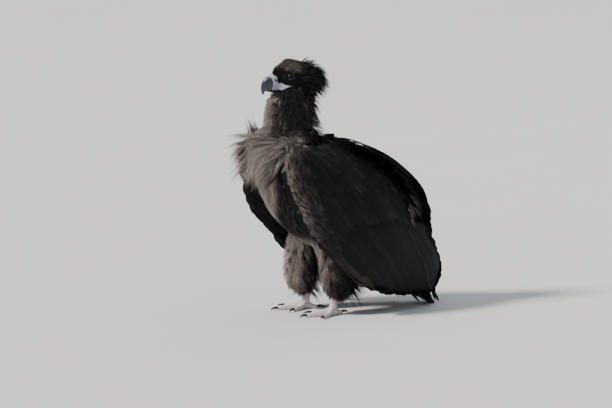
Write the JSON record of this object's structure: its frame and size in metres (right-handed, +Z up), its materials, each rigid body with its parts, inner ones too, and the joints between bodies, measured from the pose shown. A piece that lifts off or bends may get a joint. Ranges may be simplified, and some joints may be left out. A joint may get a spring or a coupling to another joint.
{
  "type": "standing cinereous vulture, museum model",
  "caption": "Life-size still model of a Eurasian black (cinereous) vulture standing with drooped wings, a wind-swept ruff and its head turned to its right.",
  "frame": {"origin": "on the floor under the middle of the bird's bounding box", "axes": "+Z up, -Y the way the body faces, +X the bird's left side"},
  "size_m": [0.3414, 0.6712, 0.7868],
  "materials": {
    "body_plumage": "matt black-brown contour feathers, paler brown on the lesser coverts",
    "flight_feathers": "smooth brown-black vanes with a faint bluish gloss and worn paler edges",
    "ruff_plumes": "long loose mid-brown plumes, soft and matt",
    "crown_down": "dense short brown-black down, spiky on the nape",
    "horn": "smooth blackish horn with a dull polish",
    "cere": "bare mauve-white skin, matt, finely pitted",
    "eye": "wet dark brown",
    "leg_skin": "pale grey-white scaled skin with a pink tinge",
    "claw": "black horn, worn and dull at the tips"
  },
  "bodies": {
    "root": {"head": "crown_down", "neck": "crown_down", "eye_left": "eye", "eye_right": "eye", "bill_upper": "horn", "bill_lower": "horn", "cere": "cere", "ruff": "ruff_plumes", "ruff_tuft": "ruff_plumes", "breast_plume": "ruff_plumes", "trunk": "body_plumage", "thigh_left": "body_plumage", "thigh_right": "body_plumage", "wing_left_coverts": "body_plumage", "wing_right_coverts": "body_plumage", "wing_left_secondaries": "flight_feathers", "wing_right_secondaries": "flight_feathers", "wing_left_primaries": "flight_feathers", "wing_right_primaries": "flight_feathers", "wing_left_tertials": "flight_feathers", "wing_right_tertials": "flight_feathers", "tail": "flight_feathers", "shank_left": "leg_skin", "shank_right": "leg_skin", "foot_left": "leg_skin", "foot_right": "leg_skin", "claw_left_inner": "claw", "claw_left_middle": "claw", "claw_left_outer": "claw", "claw_left_hind": "claw", "claw_right_inner": "claw", "claw_right_middle": "claw", "claw_right_outer": "claw", "claw_right_hind": "claw"}
  },
  "joints": []
}
